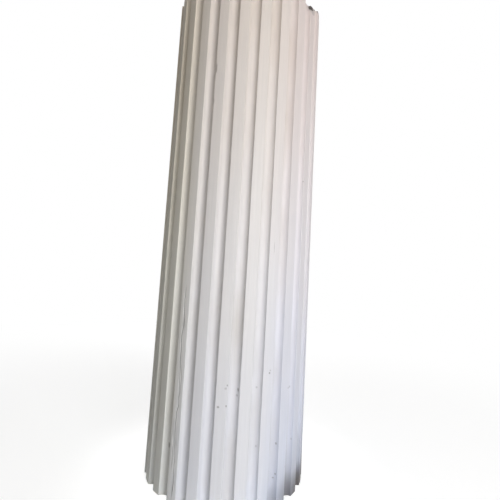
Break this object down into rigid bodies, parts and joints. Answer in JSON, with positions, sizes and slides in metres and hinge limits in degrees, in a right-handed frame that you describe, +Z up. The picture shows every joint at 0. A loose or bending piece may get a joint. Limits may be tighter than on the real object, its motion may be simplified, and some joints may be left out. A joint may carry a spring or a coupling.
{
  "type": "fluted column shaft",
  "caption": "Tapering round column shaft with half-round flutes and flat fillets, cut square at foot and head, which stands on its foot.",
  "frame": {"origin": "centre of the flat foot, on the shaft's axis", "axes": "+Z up the shaft from foot to head, one fillet centred on -Y"},
  "size_m": [0.356, 0.356, 1.03],
  "materials": {
    "painted_timber": "satin off-white brush-painted timber, slightly worn"
  },
  "bodies": {
    "root": {"shaft": "painted_timber"}
  },
  "joints": []
}
